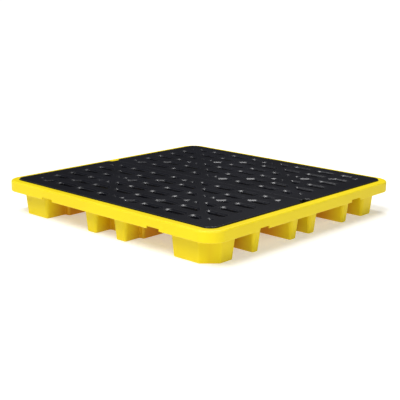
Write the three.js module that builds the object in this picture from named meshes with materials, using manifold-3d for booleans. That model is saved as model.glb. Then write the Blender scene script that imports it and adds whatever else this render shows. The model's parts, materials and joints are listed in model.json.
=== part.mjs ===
// Low spill containment pallet for four drums: a one-piece moulded sump on hollow feet, with
// two slotted deck panels that drop into a seat in its rim and lift straight out.
// Millimetres, +Z up, +X right, +Y back. The origin is at the centre of the footprint, on the floor.

import * as THREE from 'three';
import { mergeVertices } from 'three/addons/utils/BufferGeometryUtils.js';
import Module from 'manifold-3d';

const wasm = await Module();
wasm.setup();

// ---- Driving dimensions -------------------------------------------------------------------

const HALF_PLAN = 650;           // outer face of the rim, from the centre
const DECK_TOP = 160;            // walking surface of the deck panels
const RIM_TOP = 155;
const RIM_BOTTOM = 105;
const RIM_CORNER = 80;           // plan radius of the rim's corners
const RIM_EASE = 4;              // bevel along the rim's top outer edge
const WALL = 6;                  // moulded wall thickness

const BODY_HALF = 612;           // sump wall under the rim, outer face
const BODY_CORNER = 42;
const SEAT_HALF = 613;           // recess in the rim that the deck drops into
const SEAT_CORNER = 43;
const SEAT_HEIGHT = 136;         // ledge under the deck
const SUMP_HALF = 606;
const SUMP_CORNER = 36;
const FLOOR_TOP = 105;           // sump floor over the fork channels
const FLOOR_UNDER = FLOOR_TOP - WALL;

const NOTCH_INNER = 300;         // rim cut-outs, two on each side
const NOTCH_OUTER = 370;
const NOTCH_HEIGHT = 12;

const FOOT_OUTER = 599;          // outer faces of the feet at the floor
const FOOT_DRAFT = 11;           // how much each foot wall leans out by the top
const FOOT_CHAMFER = 60;         // cut-off outer corner of each corner foot
const FOOT_EASE = 10;            // small corners of the foot outlines
const TOE_EASE = 4;              // bevel round the sole of each foot

const CHANNEL_X = [145, 373];    // fork channel that runs front to back, near and far side in x
const CHANNEL_Y = [89, 303];     // fork channel that runs left to right, near and far side in y

const CORNER_BLOCK = [400, 463]; // inner corner of the corner foot's outer block
const STEP_BACK = 493;           // where the corner foot steps in to the channel's side
const FIN = 340;                 // back face of the outer fin, whose front is the channel's far side
const FIN_ROOT = 470;            // where the outer fin meets its link
const LEGS = [63, 122];          // the two legs of the front and rear middle feet
const LEG_ROOT = 515;
const SIDE_FINS = [46, 89];      // the two fins of the side middle feet
const SIDE_FIN_ROOT = 430;
const CENTRE_FOOT = [131, 89];

const POST_HALF = 36;            // deck posts, at the foot of the post
const POST_LEAN = 6;
const POST_PLACES = [[0, 196], [259, 0], [259, 196], [259, 440]];

const GAP = 0.3;                 // clearance between pieces that rest on each other

const DECK_HALF = 611;
const DECK_CORNER = 41;
const DECK_EASE = 3;
const DECK_PLATE = 9;
const PANEL_GAP = 1;             // between the two panels, along the middle
const PANEL_SKIRT = 7;
const RIB = 5;

const COLUMNS = 8;
const ROWS = 6;
const COLUMN_PITCH = 137;
const ROW_PITCH = 91.2;
const ROW_CENTRE = 299;          // middle of a panel's slot rows
const SLOT_LENGTH = 94;
const SLOT_WIDTH = 30;
const BRACE_WIDTH = 41;          // solid diagonal bands that cross each quarter of the deck

const GRIP_HALF = 35;            // finger notch at each end of the joint between the panels
const GRIP_DEPTH = 24;

// ---- Outlines -----------------------------------------------------------------------------

// A closed outline with each corner moved by `distance` along both of its sides' normals.
// Outlines run anticlockwise, so a positive distance makes them larger.
function offset(points, distance) {
  return points.map((point, i) => {
    const before = points[(i + points.length - 1) % points.length];
    const after = points[(i + 1) % points.length];
    const a = point.clone().sub(before).normalize();
    const b = after.clone().sub(point).normalize();
    const normalA = new THREE.Vector2(a.y, -a.x);
    const normalB = new THREE.Vector2(b.y, -b.x);
    const mitre = normalA.clone().add(normalB).divideScalar(1 + normalA.dot(normalB));
    return point.clone().addScaledVector(mitre, distance);
  });
}

// The same outline with each corner replaced by an arc of `steps` straight pieces. On a side too
// short for two full arcs the radius is reduced.
function rounded(points, fullRadius, steps) {
  return points.flatMap((point, i) => {
    const before = points[(i + points.length - 1) % points.length].clone().sub(point);
    const after = points[(i + 1) % points.length].clone().sub(point);
    const half = before.angleTo(after) / 2;
    const room = 0.45 * Math.min(before.length(), after.length());
    const reach = Math.min(fullRadius / Math.tan(half), room);
    const radius = reach * Math.tan(half);
    const towardsCentre = before.clone().normalize().add(after.clone().normalize()).normalize();
    const centre = point.clone().addScaledVector(towardsCentre, radius / Math.sin(half));
    const start = point.clone().addScaledVector(before.normalize(), reach).sub(centre);
    const end = point.clone().addScaledVector(after.normalize(), reach).sub(centre);
    const sweep = Math.atan2(start.cross(end), start.dot(end));
    return Array.from({ length: steps + 1 }, (_, k) =>
      start.clone().rotateAround(new THREE.Vector2(), (sweep * k) / steps).add(centre));
  });
}

const outline = (...pairs) => pairs.map(([x, y]) => new THREE.Vector2(x, y));

const rectangle = (x0, y0, x1, y1) => outline([x0, y0], [x1, y0], [x1, y1], [x0, y1]);

const roundedSquare = (half, corner) => rounded(rectangle(-half, -half, half, half), corner, 5);

// Mirrors an outline and keeps it anticlockwise.
function mirrored(points, sx, sy) {
  const flipped = points.map((point) => new THREE.Vector2(point.x * sx, point.y * sy));
  return sx * sy < 0 ? flipped.reverse() : flipped;
}

// ---- Solids -------------------------------------------------------------------------------

// A closed solid between two outlines with the same number of points, at two heights.
function frustum(lower, upper, z0, z1) {
  const count = lower.length;
  const positions = [...lower.map((p) => [p.x, p.y, z0]), ...upper.map((p) => [p.x, p.y, z1])];
  const floor = THREE.ShapeUtils.triangulateShape(lower, []).map(([a, b, c]) => [a, c, b]);
  const roof = THREE.ShapeUtils.triangulateShape(upper, []).map((face) => face.map((k) => k + count));
  const walls = lower.flatMap((_, i) => {
    const next = (i + 1) % count;
    return [[i, next, count + next], [i, count + next, count + i]];
  });
  const geometry = new THREE.BufferGeometry();
  geometry.setAttribute('position', new THREE.Float32BufferAttribute(positions.flat(), 3));
  geometry.setIndex([...floor, ...roof, ...walls].flat());
  return solid(geometry);
}

const prism = (points, z0, z1) => frustum(points, points, z0, z1);

function box(x0, y0, z0, x1, y1, z1) {
  const geometry = new THREE.BoxGeometry(x1 - x0, y1 - y0, z1 - z0);
  geometry.translate((x0 + x1) / 2, (y0 + y1) / 2, (z0 + z1) / 2);
  return solid(geometry);
}

function solid(geometry) {
  geometry.deleteAttribute('normal');
  geometry.deleteAttribute('uv');
  const merged = mergeVertices(geometry);
  return new wasm.Manifold(new wasm.Mesh({
    numProp: 3,
    vertProperties: new Float32Array(merged.attributes.position.array),
    triVerts: new Uint32Array(merged.index.array),
  }));
}

const union = (solids) => solids.reduce((whole, next) => whole.add(next));

function piece(name, shape, material) {
  const mesh = shape.getMesh();
  const geometry = new THREE.BufferGeometry();
  geometry.setAttribute('position', new THREE.Float32BufferAttribute(mesh.vertProperties, 3));
  geometry.setIndex(Array.from(mesh.triVerts));
  geometry.computeVertexNormals();
  const object = new THREE.Mesh(geometry, material);
  object.name = name;
  return object;
}

// ---- Feet ---------------------------------------------------------------------------------

const quarterSigns = [[1, 1], [-1, 1], [-1, -1], [1, -1]];

// Corner foot: an outer block, a link beside the fork channel and a fin towards the side.
const cornerFoot = outline(
  [CORNER_BLOCK[0], FOOT_OUTER],
  [CORNER_BLOCK[0], STEP_BACK],
  [CHANNEL_X[1], STEP_BACK],
  [CHANNEL_X[1], CHANNEL_Y[1]],
  [FOOT_OUTER, CHANNEL_Y[1]],
  [FOOT_OUTER, FIN],
  [FIN_ROOT, FIN],
  [FIN_ROOT, CORNER_BLOCK[1]],
  [FOOT_OUTER, CORNER_BLOCK[1]],
  [FOOT_OUTER, FOOT_OUTER - FOOT_CHAMFER],
  [FOOT_OUTER - FOOT_CHAMFER, FOOT_OUTER],
);

// Middle foot of the front or rear: a cross block with two legs.
const endFoot = outline(
  [-CHANNEL_X[0], CHANNEL_Y[1]],
  [CHANNEL_X[0], CHANNEL_Y[1]],
  [CHANNEL_X[0], LEG_ROOT],
  [LEGS[1], LEG_ROOT],
  [LEGS[1], FOOT_OUTER],
  [LEGS[0], FOOT_OUTER],
  [LEGS[0], LEG_ROOT],
  [-LEGS[0], LEG_ROOT],
  [-LEGS[0], FOOT_OUTER],
  [-LEGS[1], FOOT_OUTER],
  [-LEGS[1], LEG_ROOT],
  [-CHANNEL_X[0], LEG_ROOT],
);

// Middle foot of a side: a narrow block with two fins.
const sideFoot = outline(
  [CHANNEL_X[1], -SIDE_FINS[1]],
  [FOOT_OUTER, -SIDE_FINS[1]],
  [FOOT_OUTER, -SIDE_FINS[0]],
  [SIDE_FIN_ROOT, -SIDE_FINS[0]],
  [SIDE_FIN_ROOT, SIDE_FINS[0]],
  [FOOT_OUTER, SIDE_FINS[0]],
  [FOOT_OUTER, SIDE_FINS[1]],
  [CHANNEL_X[1], SIDE_FINS[1]],
);

const centreFoot = rectangle(-CENTRE_FOOT[0], -CENTRE_FOOT[1], CENTRE_FOOT[0], CENTRE_FOOT[1]);

const footOutlines = [
  ...quarterSigns.map(([sx, sy]) => mirrored(cornerFoot, sx, sy)),
  endFoot,
  mirrored(endFoot, 1, -1),
  sideFoot,
  mirrored(sideFoot, -1, 1),
  centreFoot,
];

// How far a foot wall has leaned out at a height.
const lean = (z) => (FOOT_DRAFT * z) / FLOOR_UNDER;

const footRing = (points, z, inset) => rounded(offset(points, lean(z) - inset), FOOT_EASE - inset, 2);

function foot(points) {
  const toe = frustum(footRing(points, 0, TOE_EASE), footRing(points, TOE_EASE, 0), 0, TOE_EASE);
  const top = FLOOR_UNDER + 1;
  return toe.add(frustum(footRing(points, TOE_EASE, 0), footRing(points, top, 0), TOE_EASE, top));
}

function footHollow(points) {
  const top = FLOOR_TOP + 1;
  return frustum(footRing(points, WALL, WALL), footRing(points, top, WALL), WALL, top);
}

// ---- Sump ---------------------------------------------------------------------------------

const postSquare = (x, y, half) => rounded(rectangle(x - half, y - half, x + half, y + half), 14, 2);

// Posts rise from the floor to the deck. They are hollow from below.
const postCentres = POST_PLACES.flatMap(([x, y]) => {
  const xs = x ? [x, -x] : [0];
  const ys = y ? [y, -y] : [0];
  return xs.flatMap((px) => ys.map((py) => [px, py]));
});

const posts = postCentres.map(([x, y]) =>
  frustum(postSquare(x, y, POST_HALF), postSquare(x, y, POST_HALF - POST_LEAN), FLOOR_UNDER, SEAT_HEIGHT));

const postHollows = postCentres.map(([x, y]) => {
  const half = POST_HALF - WALL;
  const top = SEAT_HEIGHT - WALL;
  return frustum(postSquare(x, y, half), postSquare(x, y, half - POST_LEAN), FLOOR_UNDER - 1, top);
});

function rim() {
  const lower = prism(roundedSquare(HALF_PLAN, RIM_CORNER), RIM_BOTTOM, RIM_TOP - RIM_EASE);
  const upper = frustum(
    roundedSquare(HALF_PLAN, RIM_CORNER),
    roundedSquare(HALF_PLAN - RIM_EASE, RIM_CORNER - RIM_EASE),
    RIM_TOP - RIM_EASE,
    RIM_TOP,
  );
  const underside = prism(roundedSquare(HALF_PLAN - WALL, RIM_CORNER - WALL), RIM_BOTTOM - 1, RIM_TOP - WALL);
  return lower.add(upper).subtract(underside);
}

// Cut-outs in the rim's lower edge, two on each side, through the outer wall only.
function rimNotches() {
  const reach = [HALF_PLAN - WALL - 1, HALF_PLAN + 1];
  const top = RIM_BOTTOM + NOTCH_HEIGHT;
  return quarterSigns.flatMap(([sx, sy]) => {
    const [a, b] = [NOTCH_INNER, NOTCH_OUTER];
    const end = mirrored(rectangle(a, reach[0], b, reach[1]), sx, sy);
    const side = mirrored(rectangle(reach[0], a, reach[1], b), sx, sy);
    return [prism(end, RIM_BOTTOM - 1, top), prism(side, RIM_BOTTOM - 1, top)];
  });
}

function baseSump() {
  const body = prism(roundedSquare(BODY_HALF, BODY_CORNER), FLOOR_UNDER, SEAT_HEIGHT);
  const shoulderSquare = roundedSquare(SEAT_HALF + WALL, SEAT_CORNER + WALL);
  const shoulder = prism(shoulderSquare, SEAT_HEIGHT - WALL, RIM_TOP - 1);
  const outside = union([rim(), body, shoulder, ...footOutlines.map(foot)]);
  const seat = prism(roundedSquare(SEAT_HALF, SEAT_CORNER), SEAT_HEIGHT, RIM_TOP + 1);
  const sump = prism(roundedSquare(SUMP_HALF, SUMP_CORNER), FLOOR_TOP, SEAT_HEIGHT + 1);
  const cuts = union([seat, sump, ...footOutlines.map(footHollow), ...rimNotches()]);
  return outside.subtract(cuts).add(union(posts)).subtract(union(postHollows));
}

// ---- Deck panels --------------------------------------------------------------------------

// Slots of the rear panel, as capsules in plan.
function slots() {
  const places = Array.from({ length: COLUMNS * ROWS }, (_, k) => [
    (k % COLUMNS - (COLUMNS - 1) / 2) * COLUMN_PITCH,
    ROW_CENTRE + (Math.floor(k / COLUMNS) - (ROWS - 1) / 2) * ROW_PITCH,
  ]);
  return union(places.map(([x, y]) => {
    const [dx, dy] = [SLOT_LENGTH / 2, SLOT_WIDTH / 2];
    const capsule = rounded(rectangle(x - dx, y - dy, x + dx, y + dy), SLOT_WIDTH / 2 - 1, 1);
    return prism(capsule, DECK_TOP - DECK_PLATE - 1, DECK_TOP + 1);
  }));
}

// Solid diagonal bands, an X over each quarter of the deck, that interrupt the slots.
function braces() {
  const reach = COLUMNS / 4 * COLUMN_PITCH;
  const half = BRACE_WIDTH / Math.SQRT2;
  const band = outline([-reach, -reach - half], [reach, reach - half], [reach, reach + half], [-reach, -reach + half]);
  const quarterX = (COLUMNS / 4) * COLUMN_PITCH;
  return union([-quarterX, quarterX].flatMap((x) => [1, -1].map((hand) => {
    const turned = mirrored(band, hand, 1).map((p) => p.clone().add(new THREE.Vector2(x, ROW_CENTRE)));
    return prism(turned, DECK_TOP - DECK_PLATE - 2, DECK_TOP + 2);
  })));
}

// Outline of the rear panel: round outer corners, and a finger notch at each end of the joint.
function panelOutline(inset) {
  const joint = PANEL_GAP / 2 + inset;
  const side = DECK_HALF - inset;
  const grip = side - GRIP_DEPTH;
  const corner = rounded(rectangle(-side, 0, side, side), DECK_CORNER - inset, 4);
  const outer = corner.filter((p) => p.y > side / 2);
  return [
    ...outer.filter((p) => p.x > 0),
    ...outer.filter((p) => p.x < 0),
    ...outline([-side, GRIP_HALF + inset], [-grip, GRIP_HALF + inset - GRIP_DEPTH / 2], [-grip, joint]),
    ...outline([grip, joint], [grip, GRIP_HALF + inset - GRIP_DEPTH / 2], [side, GRIP_HALF + inset]),
  ];
}

// Pockets that leave a skirt and a lattice of ribs under the plate.
function underPockets(floor, roof) {
  const ends = COLUMNS / 2 * COLUMN_PITCH;
  const ribsX = Array.from({ length: COLUMNS + 1 }, (_, k) => k * COLUMN_PITCH - ends);
  const ribsY = [-2, 0, 2].map((k) => ROW_CENTRE + k * ROW_PITCH);
  const edgesX = [-DECK_HALF - RIB, ...ribsX, DECK_HALF + RIB];
  const edgesY = [-RIB, ...ribsY, DECK_HALF + RIB];
  const cells = edgesX.slice(1).flatMap((x, i) => edgesY.slice(1).map((y, j) =>
    box(edgesX[i] + RIB / 2, edgesY[j] + RIB / 2, floor - 2, x - RIB / 2, y - RIB / 2, roof)));
  return union(cells).intersect(prism(panelOutline(PANEL_SKIRT), floor - 1, roof + 1));
}

function rearPanel() {
  const seat = SEAT_HEIGHT + GAP;
  const edge = prism(panelOutline(0), seat, DECK_TOP - DECK_EASE);
  const top = frustum(panelOutline(0), panelOutline(DECK_EASE), DECK_TOP - DECK_EASE, DECK_TOP);
  return edge.add(top)
    .subtract(underPockets(seat, DECK_TOP - DECK_PLATE))
    .subtract(slots().subtract(braces()));
}

// ---- The pallet ---------------------------------------------------------------------------

const yellow = new THREE.MeshStandardMaterial({ color: 0xf5dc1e, roughness: 0.45, metalness: 0 });
const black = new THREE.MeshStandardMaterial({ color: 0x232327, roughness: 0.5, metalness: 0 });

const rear = rearPanel();

const pallet = new THREE.Group();
pallet.add(piece('base_sump', baseSump(), yellow));
pallet.add(piece('rear_deck_panel', rear, black));
pallet.add(piece('front_deck_panel', rear.rotate([0, 0, 180]), black));

export default pallet;
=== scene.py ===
"""Low spill containment pallet for four drums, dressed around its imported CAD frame.

The pallet is a one-piece moulded sump on hollow feet with two slotted deck panels that lift out.
Each moulding is lofted from plan outlines with real corner and edge radii, and Geometry Nodes set
out what repeats: the feet, the posts under the deck, the ribs and the slots.
All sizes are in metres, +X is right, +Y is back and +Z is up.
"""

from __future__ import annotations

import json
import logging
import math
from dataclasses import dataclass, field, replace
from enum import Enum
from itertools import product
from typing import Iterable, Sequence

import bmesh
import bpy
import numpy as np
from mathutils import Matrix, Vector

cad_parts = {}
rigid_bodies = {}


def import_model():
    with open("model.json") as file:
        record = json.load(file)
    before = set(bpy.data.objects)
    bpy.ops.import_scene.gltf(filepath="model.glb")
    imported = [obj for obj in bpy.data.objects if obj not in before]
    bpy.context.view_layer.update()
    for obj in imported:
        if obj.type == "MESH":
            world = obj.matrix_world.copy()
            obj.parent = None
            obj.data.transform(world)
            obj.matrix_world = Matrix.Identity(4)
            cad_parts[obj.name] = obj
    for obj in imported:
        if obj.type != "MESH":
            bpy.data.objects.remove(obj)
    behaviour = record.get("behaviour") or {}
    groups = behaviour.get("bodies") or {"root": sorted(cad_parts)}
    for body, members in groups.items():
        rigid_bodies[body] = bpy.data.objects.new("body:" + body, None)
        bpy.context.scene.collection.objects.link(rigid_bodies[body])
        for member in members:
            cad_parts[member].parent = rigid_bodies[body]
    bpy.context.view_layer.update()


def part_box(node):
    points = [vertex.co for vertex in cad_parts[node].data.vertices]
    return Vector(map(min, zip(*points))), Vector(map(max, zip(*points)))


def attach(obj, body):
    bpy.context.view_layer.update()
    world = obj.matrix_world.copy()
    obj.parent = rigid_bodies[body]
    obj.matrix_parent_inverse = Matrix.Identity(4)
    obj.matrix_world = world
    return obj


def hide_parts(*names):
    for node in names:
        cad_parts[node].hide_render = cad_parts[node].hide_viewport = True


LOG = logging.getLogger("spill_pallet")

Point = tuple[float, float]

WEAR_ATTRIBUTE = "edge_wear"
KIND_ATTRIBUTE = "kind"
TURN_ATTRIBUTE = "turn"
HALF_TURN = math.pi
QUARTER_TURN = math.pi / 2

ROOM_SHARE = 0.46  # how much of a side one rounded corner may take
NEARLY_STRAIGHT = 1e-4  # a corner that turns less than this stays as it is
LEAST_RADIUS = 2e-4
LEAST_AREA = 1e-9
OVERLAP = 0.0003  # joined and cut shapes run past each other, so that no two faces coincide
CAP_INSET = 0.001  # a flat end starts this far inside the rounding round it
RUN_OUT = 0.004  # how far a cutter runs on past the open face
SKIM = 0.00001  # a lip's cutter ends this far over the walking surface


# ---------------------------------------------------------------------------------------------
# Outlines and lofts
# ---------------------------------------------------------------------------------------------


def arc_points(before: Vector, corner: Vector, after: Vector, radius: float, steps: int) -> list[Vector]:
    """Rounds one corner of a path.

    Args:
        before: The point before the corner.
        corner: The corner itself.
        after: The point after the corner.
        radius: The wanted radius, reduced where a side is too short for it.
        steps: How many straight pieces the arc has.

    Returns:
        The steps + 1 points of the arc.
    """
    to_before = before - corner
    to_after = after - corner
    half = to_before.angle(to_after, math.pi) / 2
    if half > QUARTER_TURN - NEARLY_STRAIGHT:
        return [corner.copy() for _ in range(steps + 1)]
    room = ROOM_SHARE * min(to_before.length, to_after.length)
    reach = min(radius / math.tan(half), room)
    true_radius = reach * math.tan(half)
    start = corner + to_before.normalized() * reach
    end = corner + to_after.normalized() * reach
    middle = (to_before.normalized() + to_after.normalized()).normalized()
    centre = corner + middle * (true_radius / math.sin(half))
    sweep = math.pi - 2 * half
    first = (start - centre) / true_radius
    last = (end - centre) / true_radius
    points = []
    for step in range(steps + 1):
        share = step / steps
        weight_first = math.sin((1 - share) * sweep) / math.sin(sweep)
        weight_last = math.sin(share * sweep) / math.sin(sweep)
        points.append(centre + (first * weight_first + last * weight_last) * true_radius)
    return points


@dataclass(frozen=True)
class PlanShape:
    """A closed plan outline, anticlockwise, with a radius at each corner.

    Attributes:
        corners: The outline's sharp corners.
        radii: One radius for each corner, at offset zero.
        steps: How many straight pieces each rounded corner has.
    """

    corners: tuple[Point, ...]
    radii: tuple[float, ...]
    steps: int = 5

    @classmethod
    def box(cls, x0: float, y0: float, x1: float, y1: float, radius: float, steps: int = 5) -> PlanShape:
        """A rectangle with four equal corner radii."""
        return cls(((x0, y0), (x1, y0), (x1, y1), (x0, y1)), (radius,) * 4, steps)

    @classmethod
    def even(cls, corners: Iterable[Point], radius: float, steps: int = 5) -> PlanShape:
        """An outline with the same radius at every corner."""
        points = tuple(corners)
        return cls(points, (radius,) * len(points), steps)

    def mirrored(self, sx: float, sy: float) -> PlanShape:
        """The outline scaled by plus or minus one along x and y, kept anticlockwise.

        Args:
            sx: 1 or -1, along x.
            sy: 1 or -1, along y.

        Returns:
            The mirrored outline, with each radius still at its own corner.
        """
        points = tuple((x * sx, y * sy) for x, y in self.corners)
        if sx * sy > 0:
            return PlanShape(points, self.radii, self.steps)
        return PlanShape(points[::-1], self.radii[::-1], self.steps)

    def ring(self, offset: float) -> list[Vector]:
        """The rounded outline, standing out by an offset.

        Args:
            offset: How far every side moves outwards; negative moves it inwards.

        Returns:
            The same number of points for every offset, in the same order.
        """
        points = [Vector(corner) for corner in self.corners]
        moved: list[Vector] = []
        radii: list[float] = []
        for index, point in enumerate(points):
            entering = (point - points[index - 1]).normalized()
            leaving = (points[(index + 1) % len(points)] - point).normalized()
            normal_in = Vector((entering.y, -entering.x))
            normal_out = Vector((leaving.y, -leaving.x))
            moved.append(point + (normal_in + normal_out) * (offset / (1 + normal_in.dot(normal_out))))
            convex = entering.cross(leaving) > 0
            radii.append(max(self.radii[index] + (offset if convex else -offset), LEAST_RADIUS))
        ring: list[Vector] = []
        for index, point in enumerate(moved):
            after = moved[(index + 1) % len(moved)]
            ring.extend(arc_points(moved[index - 1], point, after, radii[index], self.steps))
        return ring


@dataclass(frozen=True)
class Bend:
    """One corner of a wall's section.

    Attributes:
        offset: How far outside the outline it lies.
        height: Its height.
        radius: The radius there.
        steps: How many straight pieces the rounding has.
    """

    offset: float
    height: float
    radius: float = 0.0
    steps: int = 4


def section_path(bends: Sequence[Bend]) -> list[Point]:
    """Rounds the corners of an open section.

    Args:
        bends: The section's corners in order; the first and last stay sharp.

    Returns:
        The (offset, height) of each ring that the section needs.
    """
    points = [Vector((bend.offset, bend.height)) for bend in bends]
    path: list[Point] = []
    for index, bend in enumerate(bends):
        inner = 0 < index < len(bends) - 1
        if not inner or bend.radius == 0.0:
            path.append((bend.offset, bend.height))
            continue
        arc = arc_points(points[index - 1], points[index], points[index + 1], bend.radius, bend.steps)
        path.extend((point.x, point.y) for point in arc)
    return path


def loft(name: str, shape: PlanShape, bends: Sequence[Bend]) -> bpy.types.Mesh:
    """A closed solid whose walls follow a section all the way round an outline.

    Args:
        name: The mesh's name.
        shape: The plan outline.
        bends: The section, from the middle of one end to the middle of the other.

    Returns:
        A closed mesh with its faces pointing out.
    """
    mesh_builder = bmesh.new()
    rings = []
    for offset, height in section_path(bends):
        rings.append([mesh_builder.verts.new((p.x, p.y, height)) for p in shape.ring(offset)])
    for lower, upper in zip(rings, rings[1:]):
        for index, vertex in enumerate(lower):
            after = (index + 1) % len(lower)
            mesh_builder.faces.new((vertex, lower[after], upper[after], upper[index]))
    mesh_builder.faces.new(reversed(rings[0]))
    mesh_builder.faces.new(rings[-1])
    bmesh.ops.recalc_face_normals(mesh_builder, faces=mesh_builder.faces)
    mesh = bpy.data.meshes.new(name)
    mesh_builder.to_mesh(mesh)
    mesh_builder.free()
    return mesh


# ---------------------------------------------------------------------------------------------
# Finishes
# ---------------------------------------------------------------------------------------------


@dataclass(frozen=True)
class Rgb:
    """A colour in linear light.

    Attributes:
        red: Its red part.
        green: Its green part.
        blue: Its blue part.
    """

    red: float
    green: float
    blue: float

    def rgba(self) -> tuple[float, float, float, float]:
        """The colour with full alpha, as a socket takes it."""
        return (self.red, self.green, self.blue, 1.0)


class NodeBoard:
    """Adds nodes and links to one node tree."""

    SPACING = 220

    def __init__(self, tree: bpy.types.NodeTree) -> None:
        """Starts on an empty tree."""
        self.tree = tree
        self.column = 0

    def add(
        self, kind: str, settings: dict[str, object] | None = None, **sockets: object
    ) -> bpy.types.Node:
        """Adds one node.

        Args:
            kind: The node's type.
            settings: Node properties to set.
            **sockets: Input values or links, by input name with underscores for spaces.

        Returns:
            The new node.
        """
        node = self.tree.nodes.new(kind)
        node.location = (self.column * self.SPACING, 0)
        self.column += 1
        for key, value in (settings or {}).items():
            setattr(node, key, value)
        for key, value in sockets.items():
            self.feed(node.inputs[key.replace("_", " ")], value)
        return node

    def feed(self, socket: bpy.types.NodeSocket, value: object) -> None:
        """Links an output to an input, or sets the input's own value.

        Args:
            socket: The input to feed.
            value: Another node's output, or a plain value.
        """
        if isinstance(value, bpy.types.NodeSocket):
            self.tree.links.new(value, socket)
        else:
            socket.default_value = value

    def math(
        self, operation: str, first: object, second: object = 0.0, clamp: bool = False
    ) -> bpy.types.NodeSocket:
        """One arithmetic step on two values.

        Args:
            operation: What the math node does.
            first: The first value or output.
            second: The second value or output, which some operations leave out.
            clamp: Whether the result is kept between 0 and 1.

        Returns:
            The result.
        """
        node = self.add("ShaderNodeMath", {"operation": operation, "use_clamp": clamp})
        self.feed(node.inputs[0], first)
        self.feed(node.inputs[1], second)
        return node.outputs[0]

    def blend(self, factor: object, first: object, second: object) -> bpy.types.NodeSocket:
        """A mix of two colours.

        Args:
            factor: How much of the second colour shows, 0 to 1.
            first: The first colour.
            second: The second colour.

        Returns:
            The mixed colour.
        """
        node = self.add("ShaderNodeMix", {"data_type": "RGBA"})
        self.feed(node.inputs["Factor"], factor)
        self.feed(node.inputs["A"], first)
        self.feed(node.inputs["B"], second)
        return node.outputs["Result"]

    def ramp(self, value: object, low: float, high: float) -> bpy.types.NodeSocket:
        """Maps low..high to 0..1 with soft ends.

        Args:
            value: The value or output to map.
            low: What becomes 0, with all below it.
            high: What becomes 1, with all above it.

        Returns:
            The mapped value.
        """
        node = self.add("ShaderNodeMapRange", {"interpolation_type": "SMOOTHSTEP"})
        self.feed(node.inputs["Value"], value)
        node.inputs["From Min"].default_value = low
        node.inputs["From Max"].default_value = high
        return node.outputs["Result"]


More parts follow.
